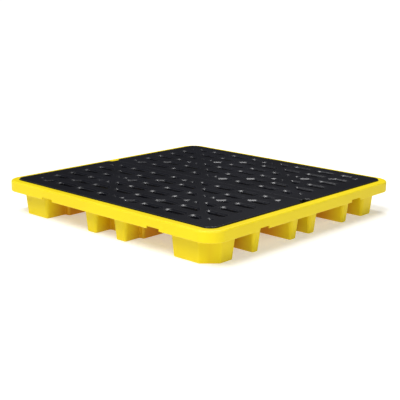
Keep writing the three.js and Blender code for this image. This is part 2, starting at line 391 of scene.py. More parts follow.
class MouldedSkinGroup:
    """The shared look of a moulded polyethylene skin: grain, cloudy pigment, scuffs, edges and painted
    shade under the pallet.
    """

    NAME = "moulded_skin"
    CLOUD_SCALE = 5.0
    CLOUD_RANGE = (0.30, 0.72)
    PITS_TO_GRAINS = 0.23
    RUBBED_RANGE = (0.25, 0.60)
    SCUFF_SCALE = 26.0
    SCUFF_STRETCH = (1.0, 7.0, 1.0)
    SCUFF_RANGE = (0.60, 0.74)
    PATCH_SCALE = 3.1
    PATCH_RANGE = (0.45, 0.70)
    # Painted shade: the colour turns darker inwards from the outer faces and below the rim's lower edge.
    PAINTED_SHADE_REACH = (0.470, 0.604)
    PAINTED_SHADE_HEIGHT = (0.090, 0.104)
    MATT_CLOUDS = 0.08
    MATT_SCUFFS = 0.12
    PIT_RELIEF = 0.8
    SCUFF_RELIEF = 0.35

    def group(self) -> bpy.types.NodeTree:
        """The node group, built once."""
        return bpy.data.node_groups.get(self.NAME) or self._build()

    def _build(self) -> bpy.types.NodeTree:
        """Builds the group with named inputs and outputs.

        Returns:
            The group, which puts out a colour, a roughness and a height.
        """
        tree = bpy.data.node_groups.new(self.NAME, "ShaderNodeTree")
        inputs = {
            "Pigment": "NodeSocketColor",
            "Deep Pigment": "NodeSocketColor",
            "Worn Pigment": "NodeSocketColor",
            # colour of the painted shade under the pallet
            "Sheltered Pigment": "NodeSocketColor",
            "Grain Scale": "NodeSocketFloat",
            "Scuffs": "NodeSocketFloat",
            "Wear": "NodeSocketFloat",
            "Matt": "NodeSocketFloat",
            "Polish": "NodeSocketFloat",
        }
        for name, kind in inputs.items():
            tree.interface.new_socket(name, in_out="INPUT", socket_type=kind)
        outputs = {"Color": "NodeSocketColor", "Roughness": "NodeSocketFloat", "Height": "NodeSocketFloat"}
        for name, kind in outputs.items():
            tree.interface.new_socket(name, in_out="OUTPUT", socket_type=kind)
        board = NodeBoard(tree)
        given = board.add("NodeGroupInput").outputs
        place = board.add("ShaderNodeTexCoord").outputs["Object"]
        cloud = self._noise(board, place, self.CLOUD_SCALE, 3.0)
        grain = self._noise(board, place, given["Grain Scale"], 2.0)
        pit_scale = board.math("MULTIPLY", given["Grain Scale"], self.PITS_TO_GRAINS)
        pits = self._noise(board, place, pit_scale, 2.0)
        drawn = board.add(
            "ShaderNodeMapping", {"vector_type": "POINT"}, Vector=place, Scale=self.SCUFF_STRETCH
        )
        streaks = self._noise(board, drawn.outputs[0], self.SCUFF_SCALE, 6.0)
        streaks = board.ramp(streaks, *self.SCUFF_RANGE)
        patches = board.ramp(self._noise(board, place, self.PATCH_SCALE, 2.0), *self.PATCH_RANGE)
        scuffed = board.math("MULTIPLY", board.math("MULTIPLY", streaks, patches), given["Scuffs"])
        worn = board.math("MULTIPLY", given["Wear"], board.ramp(pits, *self.RUBBED_RANGE))
        colour = board.blend(board.ramp(cloud, *self.CLOUD_RANGE), given["Deep Pigment"], given["Pigment"])
        # Painted shade: under the rim and in the fork channels the colour turns darker and more orange,
        # where shade falls.
        colour = board.blend(self._painted_shade_mask(board, place), colour, given["Sheltered Pigment"])
        rubbed = board.math("MAXIMUM", scuffed, worn, clamp=True)
        colour = board.blend(rubbed, colour, given["Worn Pigment"])
        rough = board.math("ADD", given["Matt"], board.math("MULTIPLY", cloud, self.MATT_CLOUDS))
        rough = board.math("ADD", rough, board.math("MULTIPLY", scuffed, self.MATT_SCUFFS))
        polished = board.math("MULTIPLY", given["Wear"], given["Polish"])
        rough = board.math("SUBTRACT", rough, polished, clamp=True)
        height = board.math("ADD", grain, board.math("MULTIPLY", pits, self.PIT_RELIEF))
        height = board.math("SUBTRACT", height, board.math("MULTIPLY", scuffed, self.SCUFF_RELIEF))
        out = board.add("NodeGroupOutput")
        for name, socket in zip(outputs, (colour, rough, height)):
            tree.links.new(socket, out.inputs[name])
        return tree

    def _painted_shade_mask(self, board: NodeBoard, place: bpy.types.NodeSocket) -> bpy.types.NodeSocket:
        """Where the painted shade goes: how far in under the rim a point is, from 0 at the outer faces to
        1 in the channels.

        Args:
            board: The board of the group.
            place: Object coordinates.

        Returns:
            The mask of the painted shade.
        """
        axes = board.add("ShaderNodeSeparateXYZ", Vector=place).outputs
        reach = board.math("MAXIMUM", board.math("ABSOLUTE", axes["X"]), board.math("ABSOLUTE", axes["Y"]))
        inside = board.math("SUBTRACT", 1.0, board.ramp(reach, *self.PAINTED_SHADE_REACH))
        below = board.math("SUBTRACT", 1.0, board.ramp(axes["Z"], *self.PAINTED_SHADE_HEIGHT))
        return board.math("MULTIPLY", inside, below)

    @staticmethod
    def _noise(
        board: NodeBoard, place: bpy.types.NodeSocket, scale: object, detail: float
    ) -> bpy.types.NodeSocket:
        """One band of noise.

        Args:
            board: The board of the group.
            place: The coordinates it is read at.
            scale: Its scale, plain or from an output.
            detail: Its detail.

        Returns:
            The noise, 0 to 1.
        """
        node = board.add("ShaderNodeTexNoise", Vector=place, Detail=detail)
        board.feed(node.inputs["Scale"], scale)
        return node.outputs["Fac"]


@dataclass(frozen=True)
class MouldedPlastic:
    """A pigmented polyethylene finish.

    Attributes:
        name: The material's name.
        slot: The record's material slot; not used.
        pigment: The main colour.
        deep: The colour where the pigment is densest.
        worn: The colour of rubbed edges and scuffs.
        painted_shade_colour: A painted shade, darker and more orange than the pigment, deep under the
            pallet where shade falls.
        matt: Roughness of the untouched skin.
        polish: How much smoother rubbed edges are.
        grain_scale: Grains per metre.
        grain_depth: Height of the grain.
        scuffs: How much of the scuffing shows, 0 to 1.
        edge_tone: How much of the worn colour edges take, 0 to 1.
        specular: The skin's specular level.
        relief: How strongly the grain shows.
    """

    name: str
    slot: str
    pigment: Rgb
    deep: Rgb
    worn: Rgb
    painted_shade_colour: Rgb
    matt: float
    polish: float
    grain_scale: float
    grain_depth: float
    scuffs: float
    edge_tone: float
    specular: float
    relief: float = 0.6

    def material(self) -> bpy.types.Material:
        """The finish as a node material, built once.

        Returns:
            The material, whose name is the finish's own.
        """
        found = bpy.data.materials.get(self.name)
        if found:
            return found
        material = bpy.data.materials.new(self.name)
        material.use_nodes = True
        tree = material.node_tree
        tree.nodes.clear()
        board = NodeBoard(tree)
        wear = board.add("ShaderNodeAttribute", {"attribute_name": WEAR_ATTRIBUTE}).outputs["Fac"]
        skin = board.add(
            "ShaderNodeGroup",
            {"node_tree": MouldedSkinGroup().group()},
            Pigment=self.pigment.rgba(),
            Deep_Pigment=self.deep.rgba(),
            Worn_Pigment=self.worn.rgba(),
            # the colour of the painted shade under the pallet
            Sheltered_Pigment=self.painted_shade_colour.rgba(),
            Grain_Scale=self.grain_scale,
            Scuffs=self.scuffs,
            Wear=board.math("MULTIPLY", wear, self.edge_tone),
            Matt=self.matt,
            Polish=self.polish,
        ).outputs
        relief = board.add(
            "ShaderNodeBump", Strength=self.relief, Distance=self.grain_depth, Height=skin["Height"]
        )
        shader = board.add(
            "ShaderNodeBsdfPrincipled",
            Base_Color=skin["Color"],
            Roughness=skin["Roughness"],
            Normal=relief.outputs["Normal"],
        )
        shader.inputs["Specular IOR Level"].default_value = self.specular
        out = board.add("ShaderNodeOutputMaterial")
        tree.links.new(shader.outputs["BSDF"], out.inputs["Surface"])
        return material


YELLOW_SHELL = MouldedPlastic(
    name="moulded_yellow_polyethylene",
    slot="yellow_shell",
    pigment=Rgb(0.80, 0.63, 0.005),
    deep=Rgb(0.78, 0.60, 0.004),
    worn=Rgb(0.86, 0.71, 0.06),
    # painted shade under the pallet, darker and more orange than the pigment
    painted_shade_colour=Rgb(0.62, 0.27, 0.002),
    matt=0.42,
    polish=0.08,
    grain_scale=620.0,
    grain_depth=0.00010,
    scuffs=0.10,
    edge_tone=0.4,
    specular=0.18,
)

BLACK_DECK = MouldedPlastic(
    name="moulded_black_polyethylene",
    slot="black_deck",
    pigment=Rgb(0.0055, 0.0058, 0.0095),
    deep=Rgb(0.0042, 0.0044, 0.0072),
    worn=Rgb(0.055, 0.055, 0.06),
    # painted shade colour; the deck lies above the painted-shade mask, so it never shows
    painted_shade_colour=Rgb(0.010, 0.010, 0.012),
    matt=0.30,
    polish=0.06,
    grain_scale=520.0,
    grain_depth=0.00016,
    scuffs=0.2,
    edge_tone=0.35,
    specular=0.27,
)


# ---------------------------------------------------------------------------------------------
# Geometry Nodes
# ---------------------------------------------------------------------------------------------


@dataclass(frozen=True)
class Placing:
    """Attributes:
        x: Its place along x.
        y: Its place along y.
        turn: How far it is turned about the vertical, in radians.
    """

    kind: int
    x: float = 0.0
    y: float = 0.0
    turn: float = 0.0


@dataclass(frozen=True)
class Kit:
    """Shapes that are set out many times, and their places.

    Attributes:
        meshes: The shapes, in the order that Placing.kind counts.
        placings: Where each repeat goes.
    """

    meshes: tuple[bpy.types.Mesh, ...]
    placings: tuple[Placing, ...]

    def collection(self, name: str) -> bpy.types.Collection:
        """The shapes as objects of one collection, in the order of their kind.

        Args:
            name: The collection's name, which the objects' names start with.

        Returns:
            The collection, outside the scene.
        """
        collection = bpy.data.collections.new(name)
        for index, mesh in enumerate(self.meshes):
            collection.objects.link(bpy.data.objects.new(f"{name}_{index:02d}", mesh))
        return collection

    def places(self, name: str) -> bpy.types.Object:
        """The places as loose points that carry each repeat's kind and turn.

        Args:
            name: The name of the points' object.

        Returns:
            The object, outside the scene.
        """
        mesh = bpy.data.meshes.new(name)
        mesh.from_pydata([(place.x, place.y, 0.0) for place in self.placings], [], [])
        kinds = mesh.attributes.new(KIND_ATTRIBUTE, "INT", "POINT")
        kinds.data.foreach_set("value", [place.kind for place in self.placings])
        turns = mesh.attributes.new(TURN_ATTRIBUTE, "FLOAT", "POINT")
        turns.data.foreach_set("value", [place.turn for place in self.placings])
        return bpy.data.objects.new(name, mesh)


class MouldingTree:
    """The Geometry Nodes tree that joins one kit to a blank and cuts another from it."""

    NAME = "moulding"
    INPUTS = {
        "Added Shapes": "NodeSocketCollection",
        "Added Places": "NodeSocketObject",
        "Cut Shapes": "NodeSocketCollection",
        "Cut Places": "NodeSocketObject",
        "Finish": "NodeSocketMaterial",
    }

    def tree(self) -> bpy.types.NodeTree:
        """The tree, built once."""
        return bpy.data.node_groups.get(self.NAME) or self._build()

    def _build(self) -> bpy.types.NodeTree:
        """Builds the tree with named inputs.

        Returns:
            The tree.
        """
        tree = bpy.data.node_groups.new(self.NAME, "GeometryNodeTree")
        tree.interface.new_socket("Geometry", in_out="INPUT", socket_type="NodeSocketGeometry")
        for name, kind in self.INPUTS.items():
            tree.interface.new_socket(name, in_out="INPUT", socket_type=kind)
        tree.interface.new_socket("Geometry", in_out="OUTPUT", socket_type="NodeSocketGeometry")
        board = NodeBoard(tree)
        given = board.add("NodeGroupInput").outputs
        added = self._set_out(board, given["Added Shapes"], given["Added Places"])
        cut = self._set_out(board, given["Cut Shapes"], given["Cut Places"])
        whole = board.add("GeometryNodeMeshBoolean", {"operation": "UNION", "solver": "MANIFOLD"})
        tree.links.new(given["Geometry"], whole.inputs["Mesh 2"])
        tree.links.new(added, whole.inputs["Mesh 2"])
        moulded = board.add("GeometryNodeMeshBoolean", {"operation": "DIFFERENCE", "solver": "MANIFOLD"})
        tree.links.new(whole.outputs["Mesh"], moulded.inputs["Mesh 1"])
        tree.links.new(cut, moulded.inputs["Mesh 2"])
        real = board.add("GeometryNodeRealizeInstances", Geometry=moulded.outputs["Mesh"])
        dressed = board.add("GeometryNodeSetMaterial", Geometry=real.outputs[0], Material=given["Finish"])
        out = board.add("NodeGroupOutput")
        tree.links.new(dressed.outputs[0], out.inputs["Geometry"])
        return tree

    @staticmethod
    def _set_out(
        board: NodeBoard, shapes: bpy.types.NodeSocket, places: bpy.types.NodeSocket
    ) -> bpy.types.NodeSocket:
        """Args:
            board: The board of the tree.

        Returns:
            The instances.
        """
        kit = board.add(
            "GeometryNodeCollectionInfo", Collection=shapes, Separate_Children=True, Reset_Children=True
        )
        points = board.add("GeometryNodeObjectInfo", Object=places).outputs["Geometry"]
        kind = board.add("GeometryNodeInputNamedAttribute", {"data_type": "INT"}, Name=KIND_ATTRIBUTE)
        turn = board.add("GeometryNodeInputNamedAttribute", {"data_type": "FLOAT"}, Name=TURN_ATTRIBUTE)
        about_z = board.add("ShaderNodeCombineXYZ", Z=turn.outputs["Attribute"])
        spread = board.add(
            "GeometryNodeInstanceOnPoints",
            Points=points,
            Instance=kit.outputs["Instances"],
            Pick_Instance=True,
            Instance_Index=kind.outputs["Attribute"],
        )
        tree = board.tree
        tree.links.new(about_z.outputs[0], spread.inputs["Rotation"])
        return spread.outputs["Instances"]

    def mould(self, blank: bpy.types.Mesh, added: Kit, cut: Kit, finish: MouldedPlastic) -> bpy.types.Mesh:
        """Runs the tree on a blank.

        Args:
            blank: The closed mesh to start from.
            added: The shapes joined to it.
            cut: The shapes cut from the result.
            finish: The finish of every face.

        Returns:
            The plain mesh that the tree makes.
        """
        name = blank.name
        values = {
            "Added Shapes": added.collection(f"{name}_added"),
            "Added Places": added.places(f"{name}_added_places"),
            "Cut Shapes": cut.collection(f"{name}_cut"),
            "Cut Places": cut.places(f"{name}_cut_places"),
            "Finish": finish.material(),
        }
        worker = bpy.data.objects.new(f"{name}_worker", blank)
        bpy.context.scene.collection.objects.link(worker)
        modifier = worker.modifiers.new("moulding", "NODES")
        modifier.node_group = self.tree()
        for item in modifier.node_group.interface.items_tree:
            if item.in_out == "INPUT" and item.name in values:
                modifier[item.identifier] = values[item.name]
        graph = bpy.context.evaluated_depsgraph_get()
        mesh = bpy.data.meshes.new_from_object(worker.evaluated_get(graph), depsgraph=graph)
        while len(mesh.materials) > 1:
            mesh.materials.pop(index=0)
        worker.modifiers.clear()
        bpy.data.objects.remove(worker)
        self._discard(values)
        return mesh

    @staticmethod
    def _discard(values: dict[str, object]) -> None:
        """Removes the kits' objects and collections, which aren't pieces.

        Args:
            values: The modifier's input values.
        """
        for value in values.values():
            if isinstance(value, bpy.types.Collection):
                for member in list(value.objects):
                    bpy.data.objects.remove(member)
                bpy.data.collections.remove(value)
            elif isinstance(value, bpy.types.Object):
                bpy.data.objects.remove(value)


# ---------------------------------------------------------------------------------------------
# Finishing a mesh
# ---------------------------------------------------------------------------------------------


@dataclass(frozen=True)
class SurfaceFinisher:
    """Smooths a moulding's shading and marks its convex edges for wear.

    Attributes:
        crease: Edges sharper than this stay crisp.
        worn_radius: Edges of about this radius or less show wear.
        merge: Points closer than this become one.
    """

    crease: float = math.radians(38.0)
    worn_radius: float = 0.012
    merge: float = 1e-5

    def finish(self, name: str, mesh: bpy.types.Mesh) -> bpy.types.Object:
        """Makes the finished object.

        Args:
            name: The object's name.
            mesh: The moulded mesh.

        Returns:
            The object, linked to the scene, with its normals baked in.
        """
        self._clean(mesh)
        self._mark_wear(mesh)
        rough = bpy.data.objects.new(f"{name}_rough", mesh)
        bpy.context.scene.collection.objects.link(rough)
        weighting = rough.modifiers.new("weighting", "WEIGHTED_NORMAL")
        weighting.keep_sharp = True
        weighting.weight = 100
        graph = bpy.context.evaluated_depsgraph_get()
        finished = bpy.data.meshes.new_from_object(rough.evaluated_get(graph), depsgraph=graph)
        bpy.data.objects.remove(rough)
        finished.name = name
        made = bpy.data.objects.new(name, finished)
        bpy.context.scene.collection.objects.link(made)
        return made

    def _clean(self, mesh: bpy.types.Mesh) -> None:
        """Merges doubled points and sets which edges are crisp.

        Args:
            mesh: The mesh to change.
        """
        work = bmesh.new()
        work.from_mesh(mesh)
        bmesh.ops.remove_doubles(work, verts=work.verts, dist=self.merge)
        bmesh.ops.dissolve_degenerate(work, edges=work.edges, dist=self.merge / 10)
        for face in work.faces:
            face.smooth = True
        for edge in work.edges:
            edge.smooth = edge.calc_face_angle(0.0) < self.crease
        work.to_mesh(mesh)
        work.free()

    def _mark_wear(self, mesh: bpy.types.Mesh) -> None:
        """Writes how tightly each face bends outwards, from 0 to 1, so that only round edges wear.

        Args:
            mesh: The mesh that gets the attribute.
        """
        work = bmesh.new()
        work.from_mesh(mesh)
        wear = np.zeros(len(work.faces), dtype=np.float32)
        for index, face in enumerate(work.faces):
            bend = sum(edge.calc_length() * edge.calc_face_angle_signed(0.0) for edge in face.edges)
            curvature = bend / (2 * max(face.calc_area(), LEAST_AREA))
            wear[index] = min(max(curvature * self.worn_radius - 0.5, 0.0), 1.0)
        work.free()
        attribute = mesh.attributes.new(WEAR_ATTRIBUTE, "FLOAT", "FACE")
        attribute.data.foreach_set("value", wear)


# ---------------------------------------------------------------------------------------------
# The sump
# ---------------------------------------------------------------------------------------------


@dataclass
class FootPlan:
    """Plan sizes of the nine hollow feet, all at the floor.

    Attributes:
        outer: Outer faces of the feet, from the centre.
        chamfer: Cut-off outer corner of each corner foot.
        ease: Small corner radius of the outlines.
        channel_x: The fork channel that runs front to back, near and far side in x.
        channel_y: The fork channel that runs left to right, near and far side in y.
        block: Inner corner of the corner foot's outer block.
        step_back: Where the corner foot steps in to the channel's side.
        fin: Back face of the outer fin.
        fin_root: Where the outer fin meets its link.
        legs: The two legs of the front and rear middle feet.
        leg_root: Where those legs meet their cross block.
        side_fins: The two fins of the side middle feet.
        side_fin_root: Where those fins meet their block.
        centre: Half sizes of the centre foot.
    """

    outer: float = 0.599
    chamfer: float = 0.060
    ease: float = 0.010
    channel_x: Point = (0.145, 0.373)
    channel_y: Point = (0.089, 0.303)
    block: Point = (0.400, 0.463)
    step_back: float = 0.493
    fin: float = 0.340
    fin_root: float = 0.470
    legs: Point = (0.063, 0.122)
    leg_root: float = 0.515
    side_fins: Point = (0.046, 0.089)
    side_fin_root: float = 0.430
    centre: Point = (0.131, 0.089)

    def corner_foot(self) -> PlanShape:
        """The rear right corner foot: an outer block, a link beside the channel and a fin.

        Returns:
            Its outline.
        """
        return PlanShape.even(
            (
                (self.block[0], self.outer),
                (self.block[0], self.step_back),
                (self.channel_x[1], self.step_back),
                (self.channel_x[1], self.channel_y[1]),
                (self.outer, self.channel_y[1]),
                (self.outer, self.fin),
                (self.fin_root, self.fin),
                (self.fin_root, self.block[1]),
                (self.outer, self.block[1]),
                (self.outer, self.outer - self.chamfer),
                (self.outer - self.chamfer, self.outer),
            ),
            self.ease,
        )

    def end_foot(self) -> PlanShape:
        """The rear middle foot: a cross block with two legs.

        Returns:
            Its outline.
        """
        right = (
            (self.channel_x[0], self.channel_y[1]),
            (self.channel_x[0], self.leg_root),
            (self.legs[1], self.leg_root),
            (self.legs[1], self.outer),
            (self.legs[0], self.outer),
            (self.legs[0], self.leg_root),
        )
        left = tuple((-x, y) for x, y in reversed(right))
        return PlanShape.even(right + left, self.ease)

    def side_foot(self) -> PlanShape:
        """The right middle foot: a narrow block with two fins.

        Returns:
            Its outline.
        """
        rear = (
            (self.side_fin_root, self.side_fins[0]),
            (self.outer, self.side_fins[0]),
            (self.outer, self.side_fins[1]),
            (self.channel_x[1], self.side_fins[1]),
        )
        front = tuple((x, -y) for x, y in reversed(rear))
        return PlanShape.even(front + rear, self.ease)

    def centre_foot(self) -> PlanShape:
        """The foot in the middle."""
        half_x, half_y = self.centre
        return PlanShape.box(-half_x, -half_y, half_x, half_y, self.ease)

    def shapes(self) -> list[PlanShape]:
        """All nine feet.

        Returns:
            Four corner feet, two end feet, two side feet and the centre foot.
        """
        corners = [self.corner_foot().mirrored(sx, sy) for sx, sy in product((1, -1), (1, -1))]
        ends = [self.end_foot(), self.end_foot().mirrored(1, -1)]
        sides = [self.side_foot(), self.side_foot().mirrored(-1, 1)]
        return corners + ends + sides + [self.centre_foot()]


@dataclass
class SumpShell:
    """The one-piece moulded sump.

    Attributes:
        half: Outer face of the rim, from the centre.
        rim_top: Height of the rim.
        rim_drop: Height of the rim's outer face.
        rim_corner: Plan radius of the rim's corners.
        rim_edge: Radius along the rim's outer top edge.
        rim_inner_edge: Radius along the rim's inner top edge.
        rim_lip: Radius of the rim's lower lip.
        seat_inset: Inner face of the rim, where the seat begins, from the outer face.
        seat_depth: How far the seat lies below the rim's top.
        seat_root: Fillet between the seat and the rim.
        seat_edge: Radius along the seat's inner edge.
        sump_inset: Inner face of the sump's wall, from the rim's outer face.
        sump_fillet: Fillet between the sump's wall and floor.
        body_inset: Outer face of the sump's wall, from the rim's outer face.
        body_edge: Radius along the body's lower edge and in the rim's hollow.
        shoulder_inset: Inner wall of the rim's hollow, from the rim's outer face.
        shoulder_edge: Radii of the step under the seat.
        wall: Wall thickness.
        draft: How much a foot's wall leans out over its height.
        toe: Radius round the sole of a foot.
        fillet: Fillet between a foot and the underside.
        hollow_lip: Radius of the lip where a foot's hollow opens in the sump's floor.
        post_half: Half the side of a deck post, at its root.
        post_corner: Plan radius of a post's corners.
        post_lean: How much a post tapers on each side.
        post_root: Fillet round a post's root.
        post_edge: Radius round a post's top.
        post_rows: Centres of the posts in the rear right quarter.
        notch_span: The two ends of a cut-out in the rim's lower edge, from the middle.
        notch_height: Height of that cut-out.
        notch_corner: Plan radius of the cut-out's cutter.
        notch_edge: Radius in the cut-out's upper corners.
        feet: Plan sizes of the feet.
    """

    half: float
    rim_top: float
    rim_drop: float = 0.050
    rim_corner: float = 0.080
    rim_edge: float = 0.009
    rim_inner_edge: float = 0.003
    rim_lip: float = 0.0025
    seat_inset: float = 0.037
    seat_depth: float = 0.019
    seat_root: float = 0.0015
    seat_edge: float = 0.002
    sump_inset: float = 0.044
    sump_fillet: float = 0.008
    body_inset: float = 0.038
    body_edge: float = 0.004
    shoulder_inset: float = 0.030
    shoulder_edge: float = 0.003
    wall: float = 0.006
    draft: float = 0.011
    toe: float = 0.004
    fillet: float = 0.0015
    hollow_lip: float = 0.003
    post_half: float = 0.036
    post_corner: float = 0.016
    post_lean: float = 0.006
    post_root: float = 0.005
    post_edge: float = 0.004
    post_rows: tuple[Point, ...] = ((0.0, 0.196), (0.259, 0.0), (0.259, 0.196), (0.259, 0.440))
    notch_span: Point = (0.300, 0.370)
    notch_height: float = 0.012
    notch_corner: float = 0.0015
    notch_edge: float = 0.003
    feet: FootPlan = field(default_factory=FootPlan)

    @property
    def rim_bottom(self) -> float:
        """Lower edge of the rim."""
        return self.rim_top - self.rim_drop

    @property
    def floor(self) -> float:
        """Sump floor over the fork channels."""
        return self.rim_bottom

    @property
    def ceiling(self) -> float:
        """Underside of the sump floor."""
        return self.floor - self.wall

    @property
    def seat(self) -> float:
        """The ledge that the deck rests on."""
        return self.rim_top - self.seat_depth

    def tray(self) -> bpy.types.Mesh:
        """The rim, seat, sump wall and floor, as one section round the plan.

        Returns:
            The closed tray, without feet, posts or cut-outs.
        """
        under_rim = self.rim_top - self.wall
        shoulder_bottom = self.seat - self.wall
        bends = [
            Bend(-self.sump_inset - 1.5 * self.sump_fillet, self.floor),
            Bend(-self.sump_inset, self.floor, self.sump_fillet),
            Bend(-self.sump_inset, self.seat, self.seat_edge, 3),
            Bend(-self.seat_inset, self.seat, self.seat_root, 3),
            Bend(-self.seat_inset, self.rim_top, self.rim_inner_edge),
            Bend(0.0, self.rim_top, self.rim_edge, 6),
            Bend(0.0, self.rim_bottom, self.rim_lip, 3),
            Bend(-self.wall, self.rim_bottom, self.rim_lip, 3),
            Bend(-self.wall, under_rim, self.body_edge, 3),
            Bend(-self.shoulder_inset, under_rim, self.body_edge, 3),
            Bend(-self.shoulder_inset, shoulder_bottom, self.shoulder_edge, 3),
            Bend(-self.body_inset, shoulder_bottom, self.shoulder_edge, 3),
            Bend(-self.body_inset, self.ceiling, self.body_edge, 3),
            Bend(-self.body_inset - 2 * self.body_edge, self.ceiling),
        ]
        shape = PlanShape.box(-self.half, -self.half, self.half, self.half, self.rim_corner, steps=14)
        return loft("base_sump_shell", shape, bends)

    def foot(self, name: str, shape: PlanShape) -> bpy.types.Mesh:
        """One foot, solid, with a round toe and a fillet under the floor.

        Args:
            name: The mesh's name.
            shape: The foot's outline at the ground.

        Returns:
            The closed foot.
        """
        inside = self.ceiling + OVERLAP
        top = self.ceiling + self.wall / 2
        bends = [
            Bend(-self.toe - CAP_INSET, 0.0),
            Bend(0.0, 0.0, self.toe),
            Bend(self.draft, inside, self.fillet),
            Bend(self.draft + self.fillet + OVERLAP, inside),
            Bend(self.draft + self.fillet + OVERLAP, top),
        ]
        return loft(name, shape, bends)

    def foot_hollow(self, name: str, shape: PlanShape) -> bpy.types.Mesh:
        """The pocket inside one foot, with a round lip at the sump floor.

        Args:
            name: The mesh's name.
            shape: The foot's outline at the ground.

        Returns:
            The cutter.
        """
        inside = self.floor + OVERLAP
        outset = self.draft - self.wall
        bends = [
            Bend(-self.wall - self.toe - CAP_INSET, self.wall),
            Bend(-self.wall, self.wall, self.toe),
            Bend(outset, inside, self.hollow_lip),
            Bend(outset + self.hollow_lip, inside),
            Bend(outset + self.hollow_lip, self.floor + self.hollow_lip),
        ]
        return loft(name, shape, bends)

    def post(self) -> bpy.types.Mesh:
        """One deck post, standing on the sump floor.

        Returns:
            The closed post, about its own middle.
        """
        inside = self.floor - OVERLAP
        flange = self.post_root + CAP_INSET
        shape = PlanShape.box(*(-self.post_half,) * 2, *(self.post_half,) * 2, self.post_corner)
        bends = [
            Bend(flange, self.ceiling + self.wall / 3),
            Bend(flange, inside),
            Bend(0.0, inside, self.post_root),
            Bend(-self.post_lean, self.seat, self.post_edge),
            Bend(-self.post_lean - flange, self.seat),
        ]
        return loft("post", shape, bends)

    def post_hollow(self) -> bpy.types.Mesh:
        """The hollow under one deck post.

        Returns:
            The cutter, about the post's middle.
        """
        half = self.post_half - self.wall
        shape = PlanShape.box(-half, -half, half, half, self.post_corner - self.wall)
        bends = [
            Bend(0.0, self.ceiling - RUN_OUT),
            Bend(0.0, self.ceiling),
            Bend(-self.post_lean, self.seat - self.wall, self.post_edge),
            Bend(-self.post_lean - 1.5 * self.post_edge, self.seat - self.wall),
        ]
        return loft("post_hollow", shape, bends)

    def notch(self) -> bpy.types.Mesh:
        """The cutter for one cut-out in the rim's lower edge, through its front wall.

        Returns:
            The cutter, right of the middle.
        """
        near, far = self.notch_span
        outside = -self.half - RUN_OUT / 2
        inside = -self.half + self.wall + RUN_OUT / 2
        shape = PlanShape.box(near, outside, far, inside, self.notch_corner)
        top = self.rim_bottom + self.notch_height
        bends = [
            Bend(0.0, self.rim_bottom - RUN_OUT),
            Bend(0.0, top, self.notch_edge),
            Bend(-self.notch_edge - CAP_INSET, top),
        ]
        return loft("notch", shape, bends)

    def post_places(self) -> list[Point]:
        """Every post's centre, mirrored over both middle lines."""
        places = {(sx * x, sy * y) for x, y in self.post_rows for sx, sy in product((1, -1), (1, -1))}
        return sorted(places)

    def build(self) -> bpy.types.Object:
        """Builds and dresses the sump.

        Returns:
            The finished piece.
        """
        shapes = self.feet.shapes()
        feet = [self.foot(f"foot_{index}", shape) for index, shape in enumerate(shapes)]
        hollows = [self.foot_hollow(f"foot_hollow_{index}", shape) for index, shape in enumerate(shapes)]
        notch_mirror = self.notch()
        notch_mirror.transform(mirror_x())
        notch_mirror.flip_normals()
        post_kind = len(feet)
        posts = [Placing(post_kind, x, y) for x, y in self.post_places()]
        notches = [
            Placing(post_kind + 1 + hand, turn=side * QUARTER_TURN)
            for hand, side in product(range(2), range(4))
        ]
        own_place = [Placing(index) for index in range(post_kind)]
        added = Kit((*feet, self.post()), (*own_place, *posts))
        cutters = (*hollows, self.post_hollow(), self.notch(), notch_mirror)
        cut = Kit(cutters, (*own_place, *posts, *notches))
        mesh = MouldingTree().mould(self.tray(), added, cut, YELLOW_SHELL)
        return SurfaceFinisher().finish("sump_shell", mesh)


# ---------------------------------------------------------------------------------------------
# The deck
# ---------------------------------------------------------------------------------------------


def mirror_x() -> Matrix:
    """The matrix that mirrors over the YZ plane."""
    return Matrix.Diagonal((-1.0, 1.0, 1.0, 1.0))


class SlotKind(Enum):
    """The cutters that the deck's slots need."""

    WHOLE = 0
    SPLIT = 1
    STUB = 2
    CLIPPED = 3


